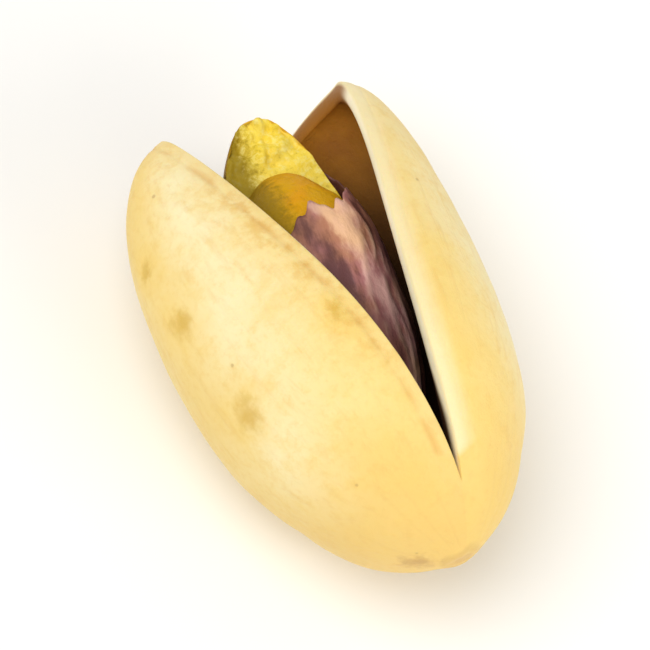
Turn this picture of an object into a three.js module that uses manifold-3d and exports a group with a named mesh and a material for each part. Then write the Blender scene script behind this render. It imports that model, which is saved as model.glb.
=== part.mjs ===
// A pistachio in its split shell, lying on its back with the split facing up.
// Millimetres, +Z up. The long axis runs along Y: the stem end (base) is at -Y and the open tip (apex) at +Y.
// Four pieces: the bony shell, whose two valves part from the tip and stay joined at the base, the papery
// seed coat, torn open at the tip, and the two green cotyledons inside it.
import * as THREE from "three";
import { ParametricGeometry } from "three/addons/geometries/ParametricGeometry.js";
import { mergeGeometries, mergeVertices } from "three/addons/utils/BufferGeometryUtils.js";
import Module from "manifold-3d";

// Shell, as it was before the valves parted
const NUT_LENGTH = 20.5;
const VALVE_DEPTH = { left: 6.2, right: 4.75 }; // seam plane to the flank of each valve
const VENTRAL_HEIGHT = 5.6; // long axis to the seam that splits open
const DORSAL_HEIGHT = 6.5; // long axis to the seam along the back
const FLANK_FULLNESS = { left: 0.08, right: 0.27 }; // how much fuller a profile is towards the base
const VENTRAL_FULLNESS = 0.33;
const DORSAL_FULLNESS = 0.19;
const WALL = 0.95;
const BASE_WALL = 1.4;
const APEX_WALL = 0.85;

// Seam and stem scar
const SEAM_DEPTH = 0.25; // the valves round inwards to the seam
const SEAM_REACH = 0.7;
const SCAR_HEIGHT = 0.35;
const SCAR_ANGLE = THREE.MathUtils.degToRad(9);

// Gape: each valve bends away from the seam plane past a slanting hinge line, then runs straight
const GAPE_ANGLE = { left: THREE.MathUtils.degToRad(15.6), right: THREE.MathUtils.degToRad(21) };
const GAPE_BEND = { left: 11.2, right: 13.5 };
const HINGE_AT_AXIS = 2.95; // where the hinge line crosses the long axis, from the base
const HINGE_SLANT = 0.35; // how far it moves towards the apex for each millimetre down towards the back
const BACK_HOLD = { left: 0, right: 2.8 }; // how much longer the back of a valve keeps to the seam plane
const BACK_HOLD_EASE = 2;
const CRACK_HALF_WIDTH = 0.3;
const CRACK_RAMP = 2.5;
const LIP_BULGE = 0.1;

// Kernel
const KERNEL_START = 2.9; // from the shell's base
const KERNEL_LENGTH = 17;
const KERNEL_HALF_WIDTH = 3.3;
const KERNEL_VENTRAL = 3.6;
const KERNEL_DORSAL = 5.5;
const KERNEL_FULLNESS = 0.1;
const KERNEL_RISE = 0.4; // the cotyledons meet above the shell's long axis
const KERNEL_TILT = THREE.MathUtils.degToRad(5); // its tip stands up towards the split
const KERNEL_TURN = THREE.MathUtils.degToRad(-6.5); // and a little towards the right valve
const KERNEL_SHIFT = -1; // it lies nearer the left valve
const COAT_THICKNESS = 0.22;
const COAT_GAP = 0.14;
const COTYLEDON_GAP = 0.16;
const UPPER_TIP_SETBACK = 2.6; // the upper cotyledon ends short of the lower one
const LOWER_TIP_SETBACK = 0.1;
const TIP_ROUNDING = 1.3; // a shortened tip is rounded off over this many times its setback

// Torn edge of the seed coat, as angles from the kernel's base
const TEAR_ON_TOP = THREE.MathUtils.degToRad(107);
const TEAR_BELOW = THREE.MathUtils.degToRad(148);
const TEAR_TEETH = [
  { count: 3, depth: THREE.MathUtils.degToRad(5), phase: 0.6 },
  { count: 7, depth: THREE.MathUtils.degToRad(2.6), phase: 2.1 },
];

// Resting pose
const ROLL = THREE.MathUtils.degToRad(1);
const PITCH = THREE.MathUtils.degToRad(-1.5);
const REST_SPOT_DEPTH = 0.32;

// Facets
const SHELL_ROWS = 28;
const SHELL_COLUMNS = 16;
const SEAM_CROWDING = 0.55; // columns crowd towards the seams
const LIP_COLUMNS = 2;
const COAT_ROWS = 18;
const COAT_COLUMNS = 28;
const COTYLEDON_ROWS = 16;
const COTYLEDON_COLUMNS = 12;
const COTYLEDON_FACE_COLUMNS = 4;

const SHELL_FINISH = { color: 0xf0d69b, roughness: 0.55, metalness: 0 };
const COAT_FINISH = { color: 0x8d5f52, roughness: 0.7, metalness: 0 };
const COTYLEDON_FINISH = { color: 0xc6ab38, roughness: 0.6, metalness: 0 };

const wasm = await Module();
wasm.setup();

// An egg along its axis: polar runs from 0 at the base to PI at the apex, and around from 0 on top (ventral)
// through PI/2 on the flank to PI below (dorsal).
function eggPoint(egg, polar, around) {
  const swell = (fullness) => Math.sin(polar) * (1 + fullness * Math.cos(polar));
  const vertical = Math.cos(around) >= 0 ? egg.ventral : egg.dorsal;
  return {
    along: egg.start + (egg.length * (1 - Math.cos(polar))) / 2,
    across: egg.flank.half * swell(egg.flank.fullness) * Math.sin(around),
    up: vertical.half * swell(vertical.fullness) * Math.cos(around),
  };
}

// The same egg, smaller by a wall on its flanks, top and bottom and by its own amounts at the two ends.
function insetEgg(egg, wall, baseWall, apexWall) {
  const thinner = (profile) => ({ half: profile.half - wall, fullness: profile.fullness });
  return {
    start: egg.start + baseWall,
    length: egg.length - baseWall - apexWall,
    flank: thinner(egg.flank),
    ventral: thinner(egg.ventral),
    dorsal: thinner(egg.dorsal),
  };
}

function shellEgg(valve) {
  return {
    start: 0,
    length: NUT_LENGTH,
    flank: { half: VALVE_DEPTH[valve], fullness: FLANK_FULLNESS[valve] },
    ventral: { half: VENTRAL_HEIGHT, fullness: VENTRAL_FULLNESS },
    dorsal: { half: DORSAL_HEIGHT, fullness: DORSAL_FULLNESS },
  };
}

// How far a place on the shell lies past the hinge line; 0 where the valves are still joined. A hold moves
// the line towards the apex on the back of a valve.
function pastHinge(egg, polar, around, hold = 0) {
  const { along, up } = eggPoint(egg, polar, around);
  const low = Math.max(0, -up);
  const held = (hold * low ** 2) / (low + BACK_HOLD_EASE);
  return Math.max(0, along - (HINGE_AT_AXIS - HINGE_SLANT * up) - held);
}

// Bends a point of one valve away from the seam plane.
function gape(point, valve, seamAlong, past) {
  if (past === 0) return point;
  const radius = GAPE_BEND[valve] / GAPE_ANGLE[valve];
  const turn = GAPE_ANGLE[valve] * Math.min(past / GAPE_BEND[valve], 1);
  const straight = Math.max(0, past - GAPE_BEND[valve]);
  const crack = CRACK_HALF_WIDTH * (1 - Math.exp(-past / CRACK_RAMP));
  const seam = {
    along: seamAlong - past + radius * Math.sin(turn) + straight * Math.cos(turn),
    across: radius * (1 - Math.cos(turn)) + straight * Math.sin(turn) + crack,
  };
  const ahead = point.along - seamAlong;
  return {
    along: seam.along + ahead * Math.cos(turn) - point.across * Math.sin(turn),
    across: seam.across + ahead * Math.sin(turn) + point.across * Math.cos(turn),
    up: point.up,
  };
}

const place = (point, side) => new THREE.Vector3(side * point.across, point.along - NUT_LENGTH / 2, point.up);

// Outer face of a valve: the egg, rounded in at the seams, with the stem scar raised at its base.
function shellOuter(egg, polar, around) {
  const point = eggPoint(egg, polar, around);
  const seam = Math.exp(-((point.across / SEAM_REACH) ** 2)) * Math.sin(polar);
  point.up -= Math.sign(point.up) * SEAM_DEPTH * seam;
  point.along -= SCAR_HEIGHT * Math.exp(-((polar / SCAR_ANGLE) ** 2));
  return point;
}

// One patch of a closed surface, as a grid of rows and columns; flip turns its faces round.
function patch(rows, columns, pointAt, flip) {
  const surface = (u, v, target) => target.copy(pointAt(v * rows, flip ? 1 - u : u));
  return new ParametricGeometry(surface, columns, rows);
}

// Joins patches along the edges that they share, and drops the triangles that vanish at the poles.
function closedGeometry(patches) {
  const joined = mergeGeometries(patches);
  joined.deleteAttribute("normal");
  joined.deleteAttribute("uv");
  const merged = mergeVertices(joined);
  const kept = [];
  const index = merged.index.array;
  for (let i = 0; i < index.length; i += 3) {
    const [a, b, c] = index.slice(i, i + 3);
    if (a !== b && b !== c && c !== a) kept.push(a, b, c);
  }
  merged.setIndex(kept);
  return merged;
}

function solidOf(geometry) {
  const vertProperties = new Float32Array(geometry.attributes.position.array);
  const triVerts = new Uint32Array(geometry.index.array);
  return new wasm.Manifold(new wasm.Mesh({ numProp: 3, vertProperties, triVerts }));
}

function geometryOf(solid) {
  const mesh = solid.getMesh();
  const geometry = new THREE.BufferGeometry();
  geometry.setAttribute("position", new THREE.BufferAttribute(mesh.vertProperties, 3));
  geometry.setIndex(new THREE.BufferAttribute(mesh.triVerts, 1));
  geometry.computeVertexNormals();
  return geometry;
}

// One valve: outer face, inner face and the two lips, which start where its seams come apart.
function valvePatches(valve) {
  const side = valve === "right" ? 1 : -1;
  const egg = shellEgg(valve);
  const cavity = insetEgg(egg, WALL, BASE_WALL, APEX_WALL);
  const polarOf = (row) => (Math.PI * row) / SHELL_ROWS;
  const aroundOf = (share) => Math.PI * share - (SEAM_CROWDING * Math.sin(2 * Math.PI * share)) / 2;
  const shaped = (form, row, share) => {
    const [polar, around] = [polarOf(row), aroundOf(share)];
    const seamAlong = eggPoint(egg, polar, around).along;
    const past = pastHinge(egg, polar, around, BACK_HOLD[valve]);
    return place(gape(form(polar, around), valve, seamAlong, past), side);
  };
  const outer = (row, share) => shaped((polar, around) => shellOuter(egg, polar, around), row, share);
  const inner = (row, share) => shaped((polar, around) => eggPoint(cavity, polar, around), row, share);

  const lip = (share, flip) => {
    let joinedRow = 0;
    while (pastHinge(egg, polarOf(joinedRow + 1), aroundOf(share)) === 0) joinedRow += 1;
    const pointAt = (row, depth) => {
      const edge = outer(joinedRow + row, share);
      const bulge = Math.min(LIP_BULGE, Math.abs(edge.x) / 3) * Math.sin(Math.PI * depth);
      edge.lerp(inner(joinedRow + row, share), depth);
      edge.x -= side * bulge;
      return edge;
    };
    return patch(SHELL_ROWS - joinedRow, LIP_COLUMNS, pointAt, flip);
  };
  const right = side > 0;
  return [
    patch(SHELL_ROWS, SHELL_COLUMNS, outer, !right),
    patch(SHELL_ROWS, SHELL_COLUMNS, inner, right),
    lip(0, right),
    lip(1, !right),
  ];
}

function shellGeometry() {
  return closedGeometry([...valvePatches("left"), ...valvePatches("right")]);
}

const kernelEgg = {
  start: KERNEL_START,
  length: KERNEL_LENGTH,
  flank: { half: KERNEL_HALF_WIDTH, fullness: KERNEL_FULLNESS },
  ventral: { half: KERNEL_VENTRAL, fullness: KERNEL_FULLNESS },
  dorsal: { half: KERNEL_DORSAL, fullness: KERNEL_FULLNESS },
};

function kernelPlace(point) {
  return place({ ...point, up: point.up + KERNEL_RISE }, 1);
}

// Where the seed coat ends, as a polar angle: further along underneath, with ragged teeth.
function tornEdge(around) {
  const share = (1 - Math.cos(around)) / 2;
  const teeth = TEAR_TEETH.map(({ count, depth, phase }) => depth * Math.sin(count * around + phase));
  return THREE.MathUtils.lerp(TEAR_ON_TOP, TEAR_BELOW, share) + teeth.reduce((sum, tooth) => sum + tooth, 0);
}

function coatGeometry() {
  const lining = insetEgg(kernelEgg, COAT_THICKNESS, COAT_THICKNESS, COAT_THICKNESS);
  const skin = (egg) => (row, share) => {
    const around = 2 * Math.PI * share;
    return kernelPlace(eggPoint(egg, (tornEdge(around) * row) / COAT_ROWS, around));
  };
  const [outside, inside] = [skin(kernelEgg), skin(lining)];
  const edge = (row, share) => outside(COAT_ROWS, share).lerp(inside(COAT_ROWS, share), row);
  return closedGeometry([
    patch(COAT_ROWS, COAT_COLUMNS, outside, false),
    patch(COAT_ROWS, COAT_COLUMNS, inside, true),
    patch(1, COAT_COLUMNS, edge, false),
  ]);
}

// Half of the kernel, above (side 1) or below (side -1) the plane where the two cotyledons meet. Its tip
// stops short of the kernel's own tip and is rounded off.
function cotyledonGeometry(side, tipSetback) {
  const inset = COAT_THICKNESS + COAT_GAP;
  const egg = insetEgg(kernelEgg, inset, inset, inset);
  egg.ventral.half -= COTYLEDON_GAP / 2;
  egg.dorsal.half -= COTYLEDON_GAP / 2;
  const middle = side > 0 ? 0 : Math.PI;
  const length = egg.length - tipSetback;
  const at = (row, around) => {
    const reach = (length * (1 - Math.cos((Math.PI * row) / COTYLEDON_ROWS))) / 2;
    const point = eggPoint(egg, Math.acos(1 - (2 * reach) / egg.length), around);
    const rounded = Math.max(0, 1 - (length - reach) / (TIP_ROUNDING * tipSetback));
    point.across *= Math.sqrt(1 - rounded ** 2);
    point.up *= Math.sqrt(1 - rounded ** 2);
    point.up += (side * COTYLEDON_GAP) / 2;
    return kernelPlace(point);
  };
  const back = (row, share) => at(row, middle + Math.PI * (share - 0.5));
  const face = (row, share) => back(row, 1).lerp(back(row, 0), share);
  return closedGeometry([
    patch(COTYLEDON_ROWS, COTYLEDON_COLUMNS, back, false),
    patch(COTYLEDON_ROWS, COTYLEDON_FACE_COLUMNS, face, false),
  ]);
}

function piece(name, geometry, finish) {
  const mesh = new THREE.Mesh(geometry, new THREE.MeshStandardMaterial(finish));
  mesh.name = name;
  return mesh;
}

// The small flat on the back, level in the resting pose, where the nut lies on a surface.
function cutRestSpot(geometry, pose) {
  const posed = geometry.clone().applyMatrix4(pose);
  posed.computeBoundingBox();
  const size = 2 * NUT_LENGTH;
  const below = new THREE.BoxGeometry(size, size, size);
  below.translate(0, 0, posed.boundingBox.min.z + REST_SPOT_DEPTH - size / 2);
  below.applyMatrix4(pose.clone().invert());
  return geometryOf(solidOf(geometry).subtract(solidOf(closedGeometry([below]))));
}

const nut = new THREE.Group();
nut.rotation.set(PITCH, ROLL, 0);
nut.updateMatrix();
nut.add(piece("shell", cutRestSpot(shellGeometry(), nut.matrix), SHELL_FINISH));

const kernel = new THREE.Group();
kernel.rotation.set(KERNEL_TILT, 0, KERNEL_TURN);
kernel.position.x = KERNEL_SHIFT;
kernel.add(piece("seed_coat", coatGeometry(), COAT_FINISH));
kernel.add(piece("cotyledon_upper", cotyledonGeometry(1, UPPER_TIP_SETBACK), COTYLEDON_FINISH));
kernel.add(piece("cotyledon_lower", cotyledonGeometry(-1, LOWER_TIP_SETBACK), COTYLEDON_FINISH));
nut.add(kernel);

// The origin is at the middle of the nut's underside.
const box = new THREE.Box3().setFromObject(nut, true);
const middle = box.getCenter(new THREE.Vector3());
nut.position.set(-middle.x, -middle.y, -box.min.z);

const pistachio = new THREE.Group();
pistachio.add(nut);

export default pistachio;
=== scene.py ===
# %% [markdown]
# # A pistachio in its split shell
#
# The nut lies on its back with the split facing up. Four solids stand in the frame already: the bony shell,
# the papery skin of the kernel and the kernel's two halves. This lesson grows a finer piece in the place of
# each one, gives it a finish made of nodes, and lights the nut softly on a pale floor.

# %% Load the frame and keep its box
import math

import bmesh
import bpy
from mathutils import Matrix, Quaternion, Vector, noise


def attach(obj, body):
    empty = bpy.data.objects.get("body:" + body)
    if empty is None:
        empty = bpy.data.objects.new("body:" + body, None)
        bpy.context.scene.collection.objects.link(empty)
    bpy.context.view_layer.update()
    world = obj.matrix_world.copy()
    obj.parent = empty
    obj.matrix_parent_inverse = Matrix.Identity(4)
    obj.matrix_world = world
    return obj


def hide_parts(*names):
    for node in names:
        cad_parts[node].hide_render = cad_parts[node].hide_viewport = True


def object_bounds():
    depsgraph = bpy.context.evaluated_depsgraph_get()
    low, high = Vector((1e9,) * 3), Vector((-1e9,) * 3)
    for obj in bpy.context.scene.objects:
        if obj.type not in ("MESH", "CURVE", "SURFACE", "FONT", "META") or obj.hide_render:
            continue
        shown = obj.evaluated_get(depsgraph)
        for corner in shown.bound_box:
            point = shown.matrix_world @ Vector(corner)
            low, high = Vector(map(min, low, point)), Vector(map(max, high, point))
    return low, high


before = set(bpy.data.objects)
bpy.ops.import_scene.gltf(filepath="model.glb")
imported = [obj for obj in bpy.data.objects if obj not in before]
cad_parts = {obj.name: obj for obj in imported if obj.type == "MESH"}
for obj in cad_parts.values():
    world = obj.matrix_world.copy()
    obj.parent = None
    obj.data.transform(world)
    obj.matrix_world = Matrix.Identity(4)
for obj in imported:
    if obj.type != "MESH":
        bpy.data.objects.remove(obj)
cad_low, cad_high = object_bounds()
print("solids in the frame:", ", ".join(sorted(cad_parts)))

# %% [markdown]
# ## The egg behind every piece
#
# A closed pistachio is nearly an egg: flat on the flanks, fuller towards the stem end, and not quite the
# same above and below. A sculpted mesh could copy that, but a rule keeps all four pieces nested. Each point
# is found from two angles: `polar` runs from the stem end to the tip, and `around` runs from the split on
# top, over a flank, to the back.

# %% Measures of the closed nut, in millimetres
MM = 0.001
LEFT, RIGHT = -1, 1
NUT_LENGTH = 20.5
# A profile is half a width, and how full it is towards the stem end
FLANK = {LEFT: (6.2, 0.08), RIGHT: (4.75, 0.27)}
VENTRAL, DORSAL = (5.6, 0.33), (6.5, 0.19)
WALL, BASE_WALL, APEX_WALL = 0.95, 1.4, 0.85


def egg_point(egg, polar, around):
    """Across, along and up of a place on an egg."""
    def swell(half, fullness):
        return half * math.sin(polar) * (1 + fullness * math.cos(polar))

    rise = egg["ventral"] if math.cos(around) >= 0 else egg["dorsal"]
    across = swell(*egg["flank"]) * math.sin(around)
    along = egg["start"] + egg["length"] * (1 - math.cos(polar)) / 2
    return Vector((across, along, swell(*rise) * math.cos(around)))


def thinner(egg, wall, base_wall, apex_wall):
    """The same egg inside a wall, with its own walls at the two ends."""
    inside = {key: (egg[key][0] - wall, egg[key][1]) for key in ("flank", "ventral", "dorsal")}
    length = egg["length"] - base_wall - apex_wall
    return {"start": egg["start"] + base_wall, "length": length, **inside}


valve_egg, valve_cavity = {}, {}
for side in (LEFT, RIGHT):
    profiles = {"flank": FLANK[side], "ventral": VENTRAL, "dorsal": DORSAL}
    valve_egg[side] = {"start": 0, "length": NUT_LENGTH, **profiles}
    valve_cavity[side] = thinner(valve_egg[side], WALL, BASE_WALL, APEX_WALL)
print("closed nut:", NUT_LENGTH, "mm long and", FLANK[LEFT][0] + FLANK[RIGHT][0], "mm across")

# %% [markdown]
# ## How the valves part
#
# A ripe pistachio splits from the tip while its two valves stay joined at the stem end. Each valve bends
# away from the seam past a slanting hinge line and then runs straight, and the back of the right valve is
# held near the seam for longer. A bend modifier turns a whole mesh about one axis, so the bend is written
# out here: it knows the slant of the hinge, the hold and the two hair cracks.

# %% The bend of a valve
GAPE_ANGLE = {LEFT: math.radians(15.6), RIGHT: math.radians(21)}
GAPE_BEND = {LEFT: 11.2, RIGHT: 13.5}
HINGE_AT_AXIS, HINGE_SLANT = 2.95, 0.35
BACK_HOLD, BACK_HOLD_EASE = {LEFT: 0.0, RIGHT: 2.8}, 2.0
CRACK_HALF_WIDTH, CRACK_RAMP = 0.3, 2.5


def past_hinge(side, polar, around, hold=0.0):
    """How far a place lies beyond the hinge line; 0 where the valves are still joined."""
    point = egg_point(valve_egg[side], polar, around)
    low = max(0.0, -point.z)
    held = hold * low ** 2 / (low + BACK_HOLD_EASE)
    return max(0.0, point.y - (HINGE_AT_AXIS - HINGE_SLANT * point.z) - held)


def gape(point, side, seam_along, past):
    """Swings a point of one valve away from the seam plane."""
    radius = GAPE_BEND[side] / GAPE_ANGLE[side]
    turn = GAPE_ANGLE[side] * min(past / GAPE_BEND[side], 1)
    straight = max(0.0, past - GAPE_BEND[side])
    crack = CRACK_HALF_WIDTH * (1 - math.exp(-past / CRACK_RAMP))
    seam_y = seam_along - past + radius * math.sin(turn) + straight * math.cos(turn)
    seam_x = radius * (1 - math.cos(turn)) + straight * math.sin(turn) + crack
    ahead = point.y - seam_along
    along = seam_y + ahead * math.cos(turn) - point.x * math.sin(turn)
    across = seam_x + ahead * math.sin(turn) + point.x * math.cos(turn)
    return Vector((across, along, point.z))


print("valves part by", round(math.degrees(sum(GAPE_ANGLE.values())), 1), "degrees")

# %% [markdown]
# ## A ball that knows its angles
#
# Every piece starts as a UV sphere, because its rings and meridians are the two angles of the egg. The
# angles are kept in vertex layers: when an operator splits, thickens or subdivides the mesh later, the new
# vertices take them over, and the layers end up as attributes that a finish can read.

# %% Balls and their walls
FIRST_WALL = 0.1


def ball(columns, rows):
    """A UV sphere with its angles in the layers polar and around (negative on the left)."""
    bm = bmesh.new()
    bmesh.ops.create_uvsphere(bm, u_segments=columns, v_segments=rows, radius=1)
    polar = bm.verts.layers.float.new("polar")
    around = bm.verts.layers.float.new("around")
    for v in bm.verts:
        v[polar] = math.acos(max(-1.0, min(1.0, -v.co.z)))
        v[around] = math.atan2(v.co.x, v.co.y)
    return bm


def thickened(bm):
    """Grows an inner wall and marks it with depth 1. The wall gets its real thickness later."""
    depth = bm.verts.layers.float.new("depth")
    grown = bmesh.ops.solidify(bm, geom=bm.faces[:], thickness=FIRST_WALL)["geom"]
    for v in (part for part in grown if isinstance(part, bmesh.types.BMVert)):
        v[depth] = 1
    return depth


def turned_out(bm):
    """Makes the faces of a closed mesh point outwards."""
    bmesh.ops.recalc_face_normals(bm, faces=bm.faces)
    if bm.calc_volume(signed=True) < 0:
        bmesh.ops.reverse_faces(bm, faces=bm.faces)
    bm.normal_update()


sample = ball(columns=8, rows=4)
print("a small ball has", len(sample.verts), "vertices")
sample.free()


# %% Blending helpers
def smooth_step(low, high, value):
    """0 below low, 1 above high, and an even S between them; low may be the larger."""
    share = max(0.0, min(1.0, (value - low) / (high - low)))
    return share * share * (3 - 2 * share)


def bump_at(value, centre, width):
    """A round bump of height 1."""
    return math.exp(-((value - centre) / width) ** 2)


def ripple(angle, along, lobes, stretch, seed):
    """Noise that runs in strips along the nut and closes on itself round it."""
    return noise.noise(Vector((lobes * math.sin(angle), lobes * math.cos(angle) + seed, along * stretch)))


print("a ripple at the base:", round(ripple(0, 0, lobes=3, stretch=0.1, seed=5), 3))

# %% [markdown]
# ## Splitting and thickening the shell
#
# The ball is slit along the two seams with split_edges, as far down as the valves have parted, and solidify
# grows the wall and closes it with a strip along each slit. Those strips are the lips: cut into six, they
# can be rounded. A boolean would give the same wall, but not lips that follow the seam.

# %% Slit the ball and grow its wall
SEAM_CROWDING = 0.55
ON_SEAM, TIE_BREAKER = 1e-5, 1e-9
LIP_CUTS = 5
shell_mesh = ball(columns=192, rows=128)
polar_of = shell_mesh.verts.layers.float["polar"]
around_of = shell_mesh.verts.layers.float["around"]
side_of = shell_mesh.verts.layers.float.new("side")
for v in shell_mesh.verts:
    v[side_of] = 0 if abs(v.co.x) < ON_SEAM else math.copysign(1, v.co.x)
    share = abs(v[around_of]) / math.pi
    v[around_of] = math.pi * share - SEAM_CROWDING * math.sin(2 * math.pi * share) / 2


def parted(edge):
    """True for an edge of a seam beyond the hinge line."""
    on_seam = all(v[side_of] == 0 for v in edge.verts)
    return on_seam and any(past_hinge(RIGHT, v[polar_of], v[around_of]) > 0 for v in edge.verts)


seam_edges = [edge for edge in shell_mesh.edges if parted(edge)]
bmesh.ops.split_edges(shell_mesh, edges=seam_edges)
for v in shell_mesh.verts:
    if v[side_of] == 0:
        valve = sum(f.calc_center_median().x for f in v.link_faces)
        v[side_of] = math.copysign(1, valve + TIE_BREAKER)
depth_of = thickened(shell_mesh)
lip_edges = [e for e in shell_mesh.edges if e.verts[0][depth_of] != e.verts[1][depth_of]]
bmesh.ops.subdivide_edges(shell_mesh, edges=lip_edges, cuts=LIP_CUTS, use_grid_fill=True)
print("slit", len(seam_edges), "seam edges; the lips have", len(lip_edges), "steps")

# %% [markdown]
# ## Shaping the valves
#
# Each vertex now goes to its place: the outer wall on the egg, rounded in at the seams, the inner wall on
# the cavity, and the lips between them with a slight bulge. The nut then gets its resting pose, which is
# read off the frame: the finished shell has to lie in the same box.

# %% Place the two walls and the lips
SEAM_DEPTH, SEAM_REACH = 0.25, 0.7
SCAR_HEIGHT, SCAR_ANGLE = 0.35, math.radians(9)
LIP_BULGE = 0.12


def shell_outer(side, polar, around):
    """The egg, rounded in along the seams and drawn out a little at the stem end."""
    point = egg_point(valve_egg[side], polar, around)
    furrow = SEAM_DEPTH * bump_at(point.x, 0, SEAM_REACH) * math.sin(polar)
    point.z -= furrow * point.z / math.hypot(point.z, SEAM_REACH)
    point.y -= SCAR_HEIGHT * bump_at(polar, 0, SCAR_ANGLE)
    return point


def shell_place(side, polar, around, depth):
    """A place in the wall: depth 0 on the outside, 1 on the inside."""
    seam_along = egg_point(valve_egg[side], polar, around).y
    past = past_hinge(side, polar, around, BACK_HOLD[side])
    outer = shell_outer(side, polar, around)
    inner = egg_point(valve_cavity[side], polar, around)
    if past > 0:
        outer, inner = [gape(wall, side, seam_along, past) for wall in (outer, inner)]
    point = outer.lerp(inner, depth)
    point.x -= min(LIP_BULGE, abs(outer.x) / 3) * math.sin(math.pi * depth)
    return Vector((side * point.x, point.y - NUT_LENGTH / 2, point.z))


for v in shell_mesh.verts:
    v.co = shell_place(int(v[side_of]), v[polar_of], v[around_of], v[depth_of])
turned_out(shell_mesh)
print("shell wall holds", round(shell_mesh.calc_volume()), "cubic millimetres")

# %% Find the resting pose
ROLL, PITCH = math.radians(1), math.radians(-1.5)
REST_SPOT_DEPTH = 0.32
lean = Matrix.Rotation(PITCH, 4, "X") @ Matrix.Rotation(ROLL, 4, "Y")
leaning = [lean @ v.co for v in shell_mesh.verts]
low = Vector(min(p[i] for p in leaning) for i in range(3))
high = Vector(max(p[i] for p in leaning) for i in range(3))
frame_middle = (cad_low + cad_high) / 2 / MM
settle = frame_middle - (low + high) / 2
settle.z = cad_low.z / MM - REST_SPOT_DEPTH - low.z
nut_pose = Matrix.Scale(MM, 4) @ Matrix.Translation(settle) @ lean
print("the nut settles by", [round(c, 2) for c in settle], "mm")

# %% [markdown]
# ## Relief of the shell
#
# The bone is not a clean egg. It has soft lumps, a fine groove beside each lip, and at the stem end a small
# sunken scar, with faint furrows that run out from it like rays. A bump map would not show them in the
# outline, so they are pushed along the normals. The measures behind them are kept in layers, so that the
# finish can stain the furrows that the light catches.

# %% Push the relief and keep its layers
LUMP_HEIGHT, LUMP_SCALE, SMALL_LUMP_SCALE, SMALL_LUMP_SHARE = 0.05, 0.28, 0.8, 0.4
LIP_GROOVE_AT, LIP_GROOVE_WIDTH, LIP_GROOVE_DEPTH = 0.5, 0.1, 0.035
DISH_RADIUS, DISH_FLAT, DISH_DEPTH, DISH_UNEVEN = 0.75, 0.15, 0.16, 0.25
FAR_FROM_STEM = 9.0
RAY_WIDTH, RAY_DEPTH = 0.045, 0.01
RAYS_START, RAYS_FADE = (1.0, 1.7), (4.5, 0.8)
SPLIT_EASE, LIP_UNSPLIT = 1.5, 3.0
# Where the band of painted highlight runs on each flank, and where along the nut it fades in and out
HIGHLIGHT_AT_STEM, HIGHLIGHT_DRIFT, HIGHLIGHT_WIDTH = 1.3, 0.05, 0.42
HIGHLIGHT_START, HIGHLIGHT_FADE = (1.5, 7.5), (21.5, 18.5)
lip_of, ray_of, stem_of, flank_highlight_of, along_of = [
    shell_mesh.verts.layers.float.new(name) for name in ("lip", "ray", "stem", "flank_highlight", "along")
]
grain_of = shell_mesh.verts.layers.float_vector.new("grain")
pushes = {}
for v in shell_mesh.verts:
    side, polar, around = int(v[side_of]), v[polar_of], v[around_of]
    point = egg_point(valve_egg[side], polar, around)
    angle = side * around
    from_axis = math.hypot(point.x, point.z) if polar < math.pi / 2 else FAR_FROM_STEM
    from_axis *= 1 + DISH_UNEVEN * ripple(angle, 0.0, lobes=1.1, stretch=0.0, seed=7.0)
    split = smooth_step(0.0, SPLIT_EASE, past_hinge(side, polar, around))
    ray_line = bump_at(ripple(angle, point.y, lobes=3.4, stretch=0.03, seed=4.0), 0, RAY_WIDTH)
    v[ray_of] = ray_line * smooth_step(*RAYS_START, from_axis) * smooth_step(*RAYS_FADE, point.y)
    v[lip_of] = point.x + LIP_UNSPLIT * (1 - split)
    v[stem_of] = from_axis
    v[along_of] = point.y
    # The band of painted highlight on each flank fades out towards both ends of the nut
    middle = smooth_step(*HIGHLIGHT_START, point.y) * smooth_step(*HIGHLIGHT_FADE, point.y)
    v[flank_highlight_of] = bump_at(around, HIGHLIGHT_AT_STEM - HIGHLIGHT_DRIFT * point.y, HIGHLIGHT_WIDTH) * middle
    v[grain_of] = (math.sin(angle) * math.sin(polar), math.cos(angle) * math.sin(polar), point.y)
    if v[depth_of] > 0:
        continue
    lumps = noise.noise(v.co * LUMP_SCALE) + SMALL_LUMP_SHARE * noise.noise(v.co * SMALL_LUMP_SCALE)
    groove = bump_at(point.x, LIP_GROOVE_AT, LIP_GROOVE_WIDTH) * split
    dish = DISH_DEPTH * smooth_step(DISH_RADIUS, DISH_FLAT, from_axis)
    relief = LUMP_HEIGHT * lumps - LIP_GROOVE_DEPTH * groove - dish - RAY_DEPTH * v[ray_of]
    pushes[v] = v.normal * relief
for v, push in pushes.items():
    v.co += push
print("relief from", round(min(p.length for p in pushes.values()), 3), "to",
      round(max(p.length for p in pushes.values()), 3), "mm")

# %% [markdown]
# ## Finishes as sums
#
# A finish is a tree of nodes, and a tree of sums is easier to read as sums. The class below wraps a socket,
# so that plus, minus, times and abs add their Math nodes, and `|` adds one that keeps the larger of two.
# Every other node comes from one method, `add`, which takes the node's type, its settings and what goes
# into its sockets.

# %% A socket that can be reckoned with
class Shade:
    """One output socket of a finish."""

    def __init__(self, finish, socket):
        self.finish, self.socket = finish, socket

    def reckon(self, operation, *values):
        return self.finish.add("ShaderNodeMath", {"operation": operation}, dict(enumerate(values)))

    def __add__(self, other):
        return self.reckon("ADD", self, other)

    def __sub__(self, other):
        return self.reckon("SUBTRACT", self, other)

    def __rsub__(self, other):
        return self.reckon("SUBTRACT", other, self)

    def __mul__(self, other):
        return self.reckon("MULTIPLY", self, other)

    def __abs__(self):
        return self.reckon("ABSOLUTE", self)

    def __or__(self, other):
        return self.reckon("MAXIMUM", self, other)

    __radd__, __rmul__, __ror__ = __add__, __mul__, __or__


print("sums that also start with a number:", [name for name in vars(Shade) if name.startswith("__r")])


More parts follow.
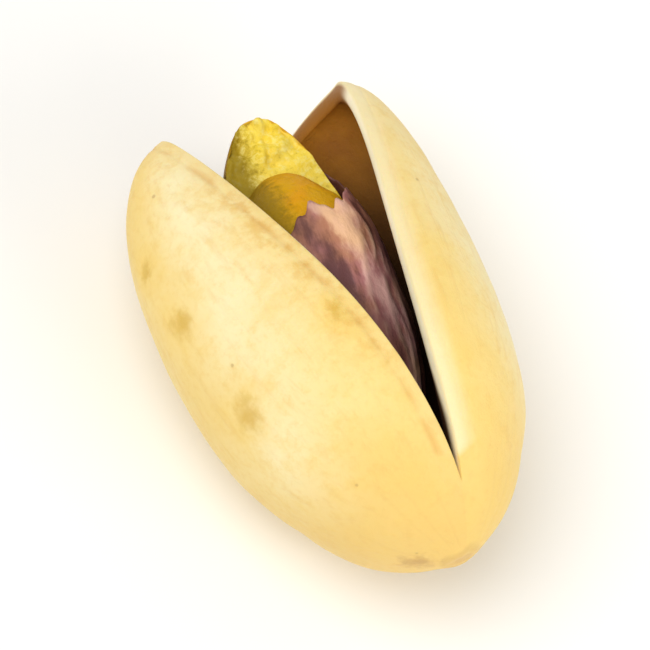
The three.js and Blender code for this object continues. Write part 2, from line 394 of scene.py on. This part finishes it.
# %% A finish and its nodes
class Finish:
    """A material's node tree."""

    def __init__(self, name):
        self.material = bpy.data.materials.new(name)
        self.material.use_nodes = True
        self.tree = self.material.node_tree
        self.tree.nodes.clear()

    def add(self, kind, settings=None, sockets=None, output=0):
        """Adds one node: its settings first, then a value or a link for each socket."""
        node = self.tree.nodes.new(kind)
        for name, value in (settings or {}).items():
            setattr(node, name, value)
        for name, value in (sockets or {}).items():
            if isinstance(value, Shade):
                self.tree.links.new(value.socket, node.inputs[name])
            else:
                node.inputs[name].default_value = value
        return Shade(self, node.outputs[output])

    def layer(self, name, output="Fac"):
        """A layer of the mesh."""
        return self.add("ShaderNodeAttribute", {"attribute_name": name}, output=output)

    def millimetres(self):
        """The place of a point in the frame."""
        place = self.add("ShaderNodeTexCoord", output="Object")
        return self.add("ShaderNodeVectorMath", {"operation": "SCALE"}, {0: place, "Scale": 1 / MM})

    def stretched(self, vector, factors):
        return self.add("ShaderNodeVectorMath", {"operation": "MULTIPLY"}, {0: vector, 1: factors})

    def cloud(self, vector, scale, detail=2.0, roughness=0.5):
        sockets = {"Vector": vector, "Scale": scale, "Detail": detail, "Roughness": roughness}
        return self.add("ShaderNodeTexNoise", {}, sockets)

    def step(self, value, low, high):
        """0 at low, 1 at high; low may be the larger."""
        sockets = {"Value": value, "From Min": low, "From Max": high}
        return self.add("ShaderNodeMapRange", {"interpolation_type": "SMOOTHSTEP"}, sockets)

    def near(self, vector, place):
        """Distance from a place."""
        return self.add("ShaderNodeVectorMath", {"operation": "DISTANCE"}, {0: vector, 1: place}, "Value")

    def mix(self, factor, first, second):
        return self.add("ShaderNodeMix", {"data_type": "RGBA"}, {0: factor, 6: first, 7: second}, 2)

    def surface(self, colour, roughness, height, constants):
        """Closes the tree; height is in millimetres."""
        normal = self.add("ShaderNodeBump", {}, {"Height": height, "Strength": 1.0, "Distance": MM})
        sockets = {"Base Color": colour, "Roughness": roughness, "Normal": normal, **constants}
        shader = self.add("ShaderNodeBsdfPrincipled", {}, sockets)
        out = self.tree.nodes.new("ShaderNodeOutputMaterial")
        self.tree.links.new(shader.socket, out.inputs["Surface"])
        print("finish", self.material.name, "has", len(self.tree.nodes), "nodes")


def tone(red, green, blue):
    """A display colour from 0 to 255, as the linear colour that a shader takes."""
    def linear(part):
        part /= 255
        return part / 12.92 if part <= 0.04045 else ((part + 0.055) / 1.055) ** 2.4

    return (linear(red), linear(green), linear(blue), 1.0)


print("cream is", [round(c, 2) for c in tone(244, 216, 138)])

# %% [markdown]
# ## The finish of the bone
#
# The shell is cream and warmer towards the lips, the back and the stem end. It could be painted on an
# image, but layers and noise stay sharp from close by. Faint lengthwise streaks follow the valves, so they
# read the grain layer. The furrows at the stem, the scar and the lips take their stains from their layers,
# and a few olive smudges sit at listed places. A broad pale band on the upper part of each flank is a
# painted highlight, and the right valve is painted a little darker and yellower as shade.

# %% Cream bone with streaks
CREAM, BUTTER, HIGHLIGHT_CREAM = tone(244, 216, 138), tone(240, 206, 116), tone(250, 239, 193)
STRAW, HONEY, RIGHT_VALVE_SHADE = tone(234, 194, 106), tone(239, 204, 112), tone(238, 206, 114)
TAN, SAND = tone(226, 178, 92), tone(228, 180, 98)
bone = Finish("cream_bone")
mm = bone.millimetres()
grain = bone.layer("grain", "Vector")
flank_highlight, along, lip, side = [bone.layer(name) for name in ("flank_highlight", "along", "lip", "side")]
broad = bone.step(bone.cloud(mm, 0.17, 3), 0.36, 0.68)
streak = bone.step(bone.cloud(bone.stretched(grain, (13, 13, 0.22)), 1.0, 4, 0.6), 0.5, 0.74)
fine = bone.cloud(mm, 3.2, 4, 0.6)
mottle = bone.cloud(mm, 0.8, 5, 0.65)
outer = bone.mix(broad * 0.8, CREAM, BUTTER)
outer = bone.mix(bone.step(along, 7.0, 0.0) * 0.75, outer, STRAW)
# Painted highlight: a pale band along the upper part of each flank
outer = bone.mix(flank_highlight * (1 - broad * 0.35) * 0.95, outer, HIGHLIGHT_CREAM)
outer = bone.mix(bone.step(mottle, 0.41, 0.7) * 0.42, outer, HONEY)
# Painted shade: the right valve is a little darker and yellower
outer = bone.mix(bone.step(side, LEFT, RIGHT) * 0.35, outer, RIGHT_VALVE_SHADE)
outer = bone.mix(streak * 0.22, outer, TAN)
outer = bone.mix(bone.step(fine, 0.45, 0.8) * 0.16, outer, SAND)
print("bone so far:", len(bone.tree.nodes), "nodes")

# %% Smudges and specks of the bone
# The place of each smudge and its radius
SMUDGES = [
    ((-5.96, 2.32, 8.27), 0.95), ((-5.40, -2.30, 8.88), 1.05), ((-6.03, 5.05, 7.35), 0.6),
    ((-1.34, -0.55, 11.74), 0.6), ((5.9, -2.2, 4.2), 1.1), ((3.4, 4.0, 1.6), 0.8),
    ((-4.4, -4.6, 1.8), 0.9), ((6.2, 2.4, 7.0), 0.7),
]
STEM_END_PATCH = ((-1.00, -9.55, 6.40), 1.0)
HALO = 2.4
OLIVE, OLIVE_HALO = tone(206, 160, 34), tone(240, 202, 96)
STEM_PATCH_BROWN, FLECK_AMBER, SPECK_BROWN = tone(176, 124, 62), tone(226, 176, 76), tone(160, 114, 58)
SPECKS_PER_MM = 0.75
ragged = (bone.cloud(mm, 1.5, 4, 0.6) - 0.5) * 1.5
smudge, halo = 0.0, 0.0
for place, radius in SMUDGES:
    reach = bone.near(mm, place) + ragged
    smudge = smudge | bone.step(reach, radius, 0.05 * radius)
    halo = halo | bone.step(reach, HALO * radius, 0.3 * radius)
outer = bone.mix(halo * 0.4, outer, OLIVE_HALO)
outer = bone.mix(smudge * 0.6, outer, OLIVE)
# A soft brown patch by the stem end
brown_patch = bone.step(bone.near(mm, STEM_END_PATCH[0]) + ragged, STEM_END_PATCH[1], 0.1)
outer = bone.mix(brown_patch * 0.55, outer, STEM_PATCH_BROWN)
by_the_lip = bone.step(lip, 2.6, 0.4) * bone.step(side, 1.8, -1.0)
by_the_lip = by_the_lip * bone.step(along, 4.0, 9.0) * bone.step(along, 19.0, 15.0)
fleck = bone.step(bone.cloud(mm, 1.2, 5, 0.65), 0.45, 0.66) * by_the_lip
outer = bone.mix(fleck * 0.6, outer, FLECK_AMBER)
dots, chance = [
    bone.add("ShaderNodeTexVoronoi", {}, {"Vector": mm, "Scale": SPECKS_PER_MM}, output)
    for output in ("Distance", "Color")
]
speck = bone.step(dots, 0.085, 0.03) * bone.step(chance, 0.66, 0.68)
outer = bone.mix(speck * 0.4, outer, SPECK_BROWN)
print("smudges:", len(SMUDGES), "and a stain by the stem")

# %% Stem end and outer lips of the bone
RAY_TAN, SCAR_RING, SCAR_FLOOR = tone(206, 152, 78), tone(166, 116, 62), tone(200, 154, 92)
LIP_CHALK, GROOVE_TAN = tone(250, 238, 196), tone(220, 168, 80)
ray, stem, depth = [bone.layer(name) for name in ("ray", "stem", "depth")]
outer = bone.mix(ray * 0.08, outer, RAY_TAN)
uneven = stem + ragged * 0.4
outer = bone.mix(bone.step(abs(uneven - DISH_RADIUS), 0.4, 0.04) * 0.2, outer, SCAR_RING)
outer = bone.mix(bone.step(uneven, 0.65, 0.3) * 0.5, outer, SCAR_FLOOR)
patchy = bone.step(bone.cloud(mm, 0.6, 3), 0.36, 0.62) * bone.step(side, 1.4, -1.0)
outer = bone.mix(bone.step(lip, 1.0, 0.1) * bone.step(side, -1.6, 1.0) * 0.6, outer, LIP_CHALK)
outer = bone.mix(bone.step(abs(lip - LIP_GROOVE_AT), 0.3, 0.0) * patchy * 0.5, outer, GROOVE_TAN)
print("bone so far:", len(bone.tree.nodes), "nodes")

# %% Inner wall and rims of the bone
INSIDE_GOLD, INSIDE_BROWN = tone(166, 106, 2), tone(146, 88, 1)
INSIDE_SHADE, INSIDE_DEEP_SHADE = tone(104, 62, 2), tone(58, 30, 5)
RIM_PALE, RIM_BROWN = tone(251, 238, 204), tone(150, 96, 18)
# Painted shade: the inner wall is darker than its own tan, and darkest deep in the shell towards the stem
# end
inside = bone.mix(bone.step(bone.cloud(mm, 0.5, 4), 0.35, 0.7), INSIDE_GOLD, INSIDE_BROWN)
inside = bone.mix(bone.step(along, 20.3, 16.0) * 0.7, inside, INSIDE_SHADE)
inside = bone.mix(bone.step(along, 18.0, 11.0) * 0.9, inside, INSIDE_DEEP_SHADE)
right_tip = bone.step(along, 19.4, 20.3) * bone.step(side, LEFT, RIGHT)
brown_rim = bone.step(bone.layer("around"), 1.3, 2.0) | right_tip
edge_tone = bone.mix(brown_rim, RIM_PALE, RIM_BROWN)
# Painted shade: towards the end of the crack the rims take the dark inside colour
crack_end_shade = bone.step(along, 7.0, 3.5)
rim = bone.mix(bone.step(depth + crack_end_shade * 0.45, 0.55, 1.0), edge_tone, inside)
colour = bone.mix(bone.step(depth, 0.0, 0.22), outer, rim)
bone.surface(
    colour,
    roughness=0.42 + 0.16 * fine + 0.25 * bone.step(depth, 0.1, 1.0),
    height=0.025 * fine + 0.02 * mottle + 0.012 * streak - 0.02 * speck - 0.015 * smudge,
    constants={
        "IOR": 1.5, "Specular IOR Level": 0.4,
        "Subsurface Weight": 0.15, "Subsurface Scale": 0.6 * MM, "Subsurface Radius": (1.0, 0.6, 0.25),
    },
)

# %% [markdown]
# ## Setting a piece in the frame
#
# A finished mesh becomes an object at the origin, with its place in its vertices. It rides on the frame's
# one body, takes its finish as its material and hides the solid that it replaces. The same few lines serve
# for all four pieces, and they count the open edges: a natural solid has none. The shell goes first. Its
# back is pressed flat where it would sink into the floor, which is the spot that the nut rests on.

# %% Turn a mesh into a piece
def set_piece(bm, name, node, finish):
    """Makes an object of a mesh, gives it its finish and body, and hides the solid that it replaces."""
    turned_out(bm)
    for f in bm.faces:
        f.smooth = True
    loose = sum(not e.is_manifold for e in bm.edges)
    mesh = bpy.data.meshes.new(name)
    bm.to_mesh(mesh)
    bm.free()
    mesh.materials.append(finish.material)
    piece = bpy.data.objects.new(name, mesh)
    bpy.context.scene.collection.objects.link(piece)
    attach(piece, "root")
    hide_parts(node)
    triangles = sum(len(f.vertices) - 2 for f in mesh.polygons)
    print(name, "has", triangles, "triangles and", loose, "open edges")
    return piece


bmesh.ops.transform(shell_mesh, matrix=nut_pose, verts=shell_mesh.verts)
for v in shell_mesh.verts:
    v.co.z = max(v.co.z, cad_low.z)
nutshell = set_piece(shell_mesh, "nutshell", "shell", bone)

# %% [markdown]
# ## The papery skin
#
# The kernel wears a thin skin, purple brown and wrinkled lengthwise, and torn off round the tip. The ball
# loses its vertex at the tip, solidify gives it a second side, and its rings are drawn back to a ragged
# edge. A cloth simulation could crumple it, but the folds would fall anywhere. The wrinkles are ridged
# noise instead: sharp crests with rounded valleys, as in anything that dried and shrank.

# %% Measures of the kernel
KERNEL_RISE, KERNEL_SHIFT = 0.4, -1.0
KERNEL_TILT, KERNEL_TURN = math.radians(5), math.radians(-6.5)
COAT_THICKNESS, COAT_GAP, COTYLEDON_GAP = 0.22, 0.14, 0.16
kernel_egg = {
    "start": 2.9, "length": 17.0, "flank": (3.3, 0.1), "ventral": (3.6, 0.1), "dorsal": (5.5, 0.1),
}
lining_egg = thinner(kernel_egg, COAT_THICKNESS, COAT_THICKNESS, COAT_THICKNESS)
flesh_inset = COAT_THICKNESS + COAT_GAP
flesh_egg = thinner(kernel_egg, flesh_inset, flesh_inset, flesh_inset)
for key in ("ventral", "dorsal"):
    flesh_egg[key] = (flesh_egg[key][0] - COTYLEDON_GAP / 2, flesh_egg[key][1])
kernel_lean = Matrix.Rotation(KERNEL_TILT, 4, "X") @ Matrix.Rotation(KERNEL_TURN, 4, "Z")
kernel_pose = nut_pose @ Matrix.Translation((KERNEL_SHIFT, 0, 0)) @ kernel_lean
kernel_middle = Vector((0, -NUT_LENGTH / 2, KERNEL_RISE))
print("kernel:", kernel_egg["length"], "mm long in a skin of", COAT_THICKNESS, "mm")

# %% Draw the ball back to the torn edge
TEAR_ON_TOP, TEAR_BELOW = math.radians(107), math.radians(146.5)
# Each row of teeth: how many, how deep in degrees, and where it starts
TEAR_TEETH = [(3, 5.0, 0.6), (7, 2.6, 2.1), (17, 0.9, 0.4), (29, 0.7, 1.3)]
SKIN_ROWS = 112
EDGE_FROM, EDGE_THINNING = 0.94, 0.32


def torn_edge(around):
    """Where the skin ends, as an angle from the kernel's base."""
    teeth = sum(math.radians(depth) * math.sin(count * around + phase) for count, depth, phase in TEAR_TEETH)
    return TEAR_ON_TOP + (TEAR_BELOW - TEAR_ON_TOP) * (1 - math.cos(around)) / 2 + teeth


skin_mesh = ball(columns=176, rows=SKIN_ROWS)
polar_of = skin_mesh.verts.layers.float["polar"]
around_of = skin_mesh.verts.layers.float["around"]
tip = max(skin_mesh.verts, key=lambda v: v[polar_of])
bmesh.ops.delete(skin_mesh, geom=[tip], context="VERTS")
depth_of = thickened(skin_mesh)
last_ring = math.pi * (1 - 1 / SKIN_ROWS)
for v in skin_mesh.verts:
    reach = v[polar_of] / last_ring
    polar = reach * torn_edge(v[around_of])
    thin = EDGE_THINNING * smooth_step(EDGE_FROM, 1.0, reach)
    outer_point = egg_point(kernel_egg, polar, v[around_of])
    inner_point = egg_point(lining_egg, polar, v[around_of])
    v.co = outer_point.lerp(inner_point, thin + (1 - 2 * thin) * v[depth_of]) + kernel_middle
turned_out(skin_mesh)
ends = [math.degrees(torn_edge(v[around_of])) for v in skin_mesh.verts]
print("skin torn between", round(min(ends)), "and", round(max(ends)), "degrees from the base")

# %% Wrinkle the skin
WRINKLE_HEIGHT, WRINKLE_SHARPNESS, WRINKLE_SWAY = 0.17, 2.6, 0.3
CALM_BASE, CALM_EDGE, CALM_SHARE = (0.0, 0.15), (2.95, 3.1), 0.7
# A band of painted highlight along the open split, bending and narrowing towards the stem end
SPLIT_LIGHT_TURN, SPLIT_LIGHT_BEND = 0.35, 0.0145
SPLIT_LIGHT_FROM, SPLIT_LIGHT_LENGTH = 4.0, 6.0
SPLIT_LIGHT_WIDTH, SPLIT_LIGHT_TAPER = 0.43, 0.04
crest_of = skin_mesh.verts.layers.float.new("crest")
split_light_of = skin_mesh.verts.layers.float.new("split_light")
grain_of = skin_mesh.verts.layers.float_vector.new("grain")


def ridge(angle, along, lobes, stretch, seed):
    """A sharp crest, 1 high, with rounded valleys."""
    return 1 - min(1.0, WRINKLE_SHARPNESS * abs(ripple(angle, along, lobes, stretch, seed)))


pushes = {}
for v in skin_mesh.verts:
    angle, along = v[around_of], v.co.y
    drift = noise.noise(Vector((along * 0.3, math.cos(angle), 2.0 + math.sin(angle))))
    sway = angle + WRINKLE_SWAY * drift
    large = ridge(sway, along, lobes=2.4, stretch=0.16, seed=3.0)
    small = ridge(sway, along, lobes=5.4, stretch=0.4, seed=8.0)
    v[crest_of] = 0.6 * large + 0.4 * small
    below = min(SPLIT_LIGHT_LENGTH, max(0.0, SPLIT_LIGHT_FROM - along))
    split_light_at = SPLIT_LIGHT_TURN + SPLIT_LIGHT_BEND * below ** 2
    v[split_light_of] = bump_at(angle, split_light_at, SPLIT_LIGHT_WIDTH - SPLIT_LIGHT_TAPER * below)
    v[grain_of] = (math.sin(angle), math.cos(angle), along)
    if v[depth_of] == 0:
        calm = smooth_step(*CALM_BASE, v[polar_of])
        calm *= 1 - CALM_SHARE * smooth_step(*CALM_EDGE, v[polar_of])
        pushes[v] = v.normal * WRINKLE_HEIGHT * (v[crest_of] - 0.5) * calm
for v, push in pushes.items():
    v.co += push
print("wrinkles push the skin by up to", round(max(p.length for p in pushes.values()), 3), "mm")

# %% [markdown]
# ## The finish of the skin
#
# Dried skin is dark and purple in its valleys and pink to tan on its crests, where it has worn thin. A
# light from the side would only shade the wrinkles, so the crest layer colours them too. Clouds break the
# bands into mottles and shift them between purple and brown. Along the open split a pale band is painted
# on as highlight, and beside the lips the skin is painted dark as shade.

# %% Purple brown skin
VALLEY_TONES = tone(112, 66, 70), tone(116, 70, 54)
SLOPE_TONES = tone(190, 124, 124), tone(192, 130, 98)
CREST_TONES = tone(236, 184, 172), tone(242, 192, 148)
BESIDE_LIPS_SHADE, BASE_SHADE = tone(82, 44, 38), tone(92, 54, 50)
paper = Finish("purple_skin")
mm = paper.millimetres()
grain = paper.layer("grain", "Vector")
crest, split_light = paper.layer("crest"), paper.layer("split_light")
thread = paper.cloud(paper.stretched(grain, (7, 7, 0.8)), 1.0, 5, 0.62)
mottle = paper.cloud(paper.stretched(grain, (2.6, 2.6, 0.55)), 1.0, 4, 0.6)
patch = paper.step(paper.cloud(mm, 0.45, 3), 0.38, 0.64)
# The band of painted highlight also lifts the crests
high = paper.step(crest * 0.5 + thread * 0.6 + mottle * 0.6 + split_light * 0.3, 0.6, 1.32)
valley, slope, summit = [paper.mix(patch, *tones) for tones in (VALLEY_TONES, SLOPE_TONES, CREST_TONES)]
colour = paper.mix(paper.step(high, 0.05, 0.5), valley, slope)
colour = paper.mix(paper.step(high, 0.5, 0.95), colour, summit)
# Painted shade on the skin beside the lips, off the band of painted highlight
colour = paper.mix((1 - split_light) * 0.6, colour, BESIDE_LIPS_SHADE)
colour = paper.mix(paper.step(paper.layer("polar"), 2.7, 2.0) * 0.25, colour, BASE_SHADE)
paper.surface(
    colour,
    roughness=0.6 - 0.16 * high,
    height=0.06 * thread + 0.04 * mottle + 0.02 * paper.cloud(mm, 6.0, 3),
    constants={"IOR": 1.45},
)
bmesh.ops.transform(skin_mesh, matrix=kernel_pose, verts=skin_mesh.verts)
set_piece(skin_mesh, "skin", "seed_coat", paper)

# %% [markdown]
# ## The two halves of the kernel
#
# The kernel is two fleshy halves that grew face to face, so each is a ball pressed flat on one side. A
# bisect would leave a hard rim, and a bevel on it pinches at the two ends. Pressing does both at once: a
# height that would go through the meeting plane is eased out just above it, which leaves a soft rim all
# round.

# %% Press a ball into half a kernel
RIM_SOFTNESS = 0.22
UPPER_TIP_SETBACK, LOWER_TIP_SETBACK = 2.6, 0.1
TIP_ROUNDING = 1.3
TIP_LUMPS, TIP_LUMPS_LIMIT, TIP_LUMPS_START = 0.09, 0.02, (0.55, 0.8)
FACE_LUMPS, FURROW_DEPTH, BARE_EASE = 0.42, 0.03, 0.05
bare_from = 1 - UPPER_TIP_SETBACK / flesh_egg["length"]


def kernel_half(side, tip_setback):
    """Half of the kernel, towards the split (1) or the back (-1)."""
    bm = ball(columns=112, rows=96)
    polar_of = bm.verts.layers.float["polar"]
    around_of = bm.verts.layers.float["around"]
    face_of = bm.verts.layers.float.new("face")
    reach_of = bm.verts.layers.float.new("reach")
    flank_of = bm.verts.layers.float.new("flank")
    length = flesh_egg["length"] - tip_setback
    for v in bm.verts:
        reach = length * (1 - math.cos(v[polar_of])) / 2
        polar = math.acos(1 - 2 * reach / flesh_egg["length"])
        around = v[around_of] if side > 0 else math.pi - v[around_of]
        facing = math.cos(v[around_of])
        point = egg_point(flesh_egg, polar, around if facing >= 0 else math.pi - around)
        lift = abs(point.z) * (1 if facing >= 0 else -1)
        pressed = (lift + math.hypot(lift, RIM_SOFTNESS * math.sin(v[polar_of]))) / 2
        rounded = max(0.0, 1 - (length - reach) / (TIP_ROUNDING * tip_setback))
        narrow = math.sqrt(1 - rounded ** 2)
        v.co = Vector((point.x * narrow, point.y, side * (pressed * narrow + COTYLEDON_GAP / 2)))
        v[face_of] = smooth_step(0.0, -0.25, facing)
        v[reach_of] = reach / flesh_egg["length"]
        v[flank_of] = v.co.x
        v.co += kernel_middle
    turned_out(bm)
    pushes = {}
    for v in bm.verts:
        lump = TIP_LUMPS * noise.noise(v.co * 1.1) * smooth_step(*TIP_LUMPS_START, v[reach_of])
        furrow = ripple(v[around_of], v.co.y, lobes=2.2, stretch=0.06, seed=6.0) * (1 - v[face_of])
        bare = smooth_step(bare_from, bare_from + BARE_EASE, v[reach_of]) * v[face_of]
        crumbs = FACE_LUMPS * bare * (noise.noise(v.co * 1.3) + 0.5 * noise.noise(v.co * 3.1))
        pushes[v] = v.normal * (min(lump, TIP_LUMPS_LIMIT) + FURROW_DEPTH * min(furrow, 0.0) + crumbs)
    for v, push in pushes.items():
        v.co += push
    return bm


upper_half = kernel_half(1, UPPER_TIP_SETBACK)
lower_half = kernel_half(-1, LOWER_TIP_SETBACK)
volumes = [round(half.calc_volume()) for half in (upper_half, lower_half)]
print("the halves hold", volumes, "cubic millimetres")

# %% [markdown]
# ## The finish of the flesh
#
# Pistachio flesh runs from golden where it has dried to bright yellow and green where it broke fresh. The
# flat meeting faces are the brightest, and the flank towards the left valve is painted dark olive as shade.
# One plain colour with a strong bump would look like plastic, so broad shifts come from clouds, and a fine
# grain in colour and height gives the slightly oily, crumbly look, painted pale on its high grains as
# highlight and dark in its low ones as shade.

# %% Yellow green flesh
GOLD_TONES = tone(214, 160, 6), tone(222, 154, 4)
FACE_TONES = tone(248, 222, 90), tone(244, 212, 64)
LEAF_GREEN, FLANK_SHADE_OLIVE = tone(150, 160, 48), tone(134, 108, 16)
CRUMB_HIGHLIGHT, CRUMB_SHADE = tone(255, 244, 158), tone(150, 122, 18)
flesh = Finish("green_gold_flesh")
mm = flesh.millimetres()
face, reach, flank = [flesh.layer(name) for name in ("face", "reach", "flank")]
broad = flesh.step(flesh.cloud(mm, 0.55, 3), 0.36, 0.66)
crumb = flesh.cloud(mm, 4.0, 4, 0.65)
back_tone = flesh.mix(broad, *GOLD_TONES)
back_tone = flesh.mix(flesh.step(reach, 0.72, 0.5), back_tone, LEAF_GREEN)
face_tone = flesh.mix(broad, *FACE_TONES)
colour = flesh.mix(face, back_tone, face_tone)
# Painted highlight on the high grains, mostly on the faces, and painted shade in the low grains
colour = flesh.mix(flesh.step(crumb, 0.46, 0.7) * 0.6 * (0.05 + 0.95 * face), colour, CRUMB_HIGHLIGHT)
colour = flesh.mix(flesh.step(crumb, 0.46, 0.25) * 0.4, colour, CRUMB_SHADE)
# Painted shade: the flank towards the left valve turns dark olive
flank_shade = flesh.step(flank + (crumb - 0.5) * 1.2, -0.2, -1.1)
colour = flesh.mix(flank_shade * 0.8, colour, FLANK_SHADE_OLIVE)
flesh.surface(
    colour,
    roughness=0.42 + 0.2 * crumb,
    height=0.06 * crumb + 0.05 * broad,
    constants={"IOR": 1.47, "Specular IOR Level": 0.12},
)
for half, name, node in (
    (upper_half, "kernel_upper", "cotyledon_upper"),
    (lower_half, "kernel_lower", "cotyledon_lower"),
):
    bmesh.ops.transform(half, matrix=kernel_pose, verts=half.verts)
    set_piece(half, name, node, flesh)

# %% [markdown]
# ## The camera
#
# The nut is seen from above and a little from its left flank, with its tip pointing up and to the left. A
# short lens close by would swell the near valve, so a long one looks from further off. The camera is aimed
# at the middle of what it sees of the shell, and its distance is set so that the nut fills about three
# quarters of a square picture.

# %% Aim the camera
AZIMUTH, ELEVATION, TWIST = math.radians(-48.68), math.radians(65.38), math.radians(25.085)
LENS, SENSOR, NEAR_CLIP = 400.0, 36.0, 0.01
FILL = 0.76
level = math.cos(ELEVATION)
back = Vector((math.sin(AZIMUTH) * level, -math.cos(AZIMUTH) * level, math.sin(ELEVATION)))
aim = back.to_track_quat("Z", "Y") @ Quaternion((0, 0, 1), TWIST)
right, up = aim @ Vector((1, 0, 0)), aim @ Vector((0, 1, 0))
spans = []
for axis in (right, up, back):
    reaches = [axis.dot(v.co) for v in nutshell.data.vertices]
    spans.append((min(reaches), max(reaches)))
target = sum((axis * sum(span) / 2 for axis, span in zip((right, up, back), spans)), Vector())
field = max(span[1] - span[0] for span in spans[:2]) / FILL
distance = field * LENS / SENSOR
camera_data = bpy.data.cameras.new("camera")
camera_data.lens, camera_data.sensor_width = LENS, SENSOR
camera_data.clip_start = NEAR_CLIP
camera = bpy.data.objects.new("camera", camera_data)
camera.matrix_world = Matrix.Translation(target + back * distance) @ aim.to_matrix().to_4x4()
bpy.context.scene.collection.objects.link(camera)
bpy.context.scene.camera = camera
print("camera stands", round(distance / MM), "mm away")

# %% [markdown]
# ## Floor and light
#
# A plain pale floor and soft light from all round, as on a white table: a broad key light from the upper
# left, a weaker fill from the right, and a bright even sky. A sun lamp would be simpler, but broad lights
# give the bone its soft sheen and keep the shadow under the nut faint.

# %% Pale floor
FLOOR_HALF_WIDTH, FLOOR_DROP = 1.0, 0.02 * MM
ground = Finish("pale_floor")
mm = ground.millimetres()
dust = ground.cloud(mm, 0.02, 3)
pale = ground.mix(dust, tone(250, 249, 246), tone(246, 245, 242))
ground.surface(pale, roughness=0.7 + 0.1 * dust, height=0.001 * dust, constants={"IOR": 1.45})
floor_mesh = bmesh.new()
bmesh.ops.create_grid(floor_mesh, x_segments=8, y_segments=8, size=FLOOR_HALF_WIDTH)
bmesh.ops.translate(floor_mesh, verts=floor_mesh.verts, vec=(0, 0, -FLOOR_DROP))
floor_data = bpy.data.meshes.new("floor")
floor_mesh.to_mesh(floor_data)
floor_mesh.free()
floor_data.materials.append(ground.material)
floor = bpy.data.objects.new("floor", floor_data)
bpy.context.scene.collection.objects.link(floor)
print("floor is", 2 * FLOOR_HALF_WIDTH, "m wide")

# %% Soft lights
SKY_COLOUR, SKY_STRENGTH = (1.0, 0.99, 0.97, 1.0), 0.56
LIGHT_DISTANCE, LIGHT_SIZE = 0.4, 0.30
KEY_POWER, FILL_POWER = 0.92, 0.6
world = bpy.data.worlds.new("sky")
world.use_nodes = True
sky = world.node_tree.nodes["Background"]
sky.inputs["Color"].default_value = SKY_COLOUR
sky.inputs["Strength"].default_value = SKY_STRENGTH
bpy.context.scene.world = world
bpy.context.scene.view_settings.view_transform = "Standard"


def soft_light(name, direction, power):
    """A round area light that faces the nut."""
    data = bpy.data.lights.new(name, "AREA")
    data.shape, data.size, data.energy = "DISK", LIGHT_SIZE, power
    light = bpy.data.objects.new(name, data)
    place = Matrix.Translation(target + direction.normalized() * LIGHT_DISTANCE)
    light.matrix_world = place @ direction.to_track_quat("Z", "Y").to_matrix().to_4x4()
    bpy.context.scene.collection.objects.link(light)


soft_light("key", back + 0.32 * up - 0.2 * right, KEY_POWER)
soft_light("fill", back * 0.6 + 0.9 * right - 0.5 * up, FILL_POWER)

# %% [markdown] ## The box of the solids The dressed nut has to lie in the box of its solids.
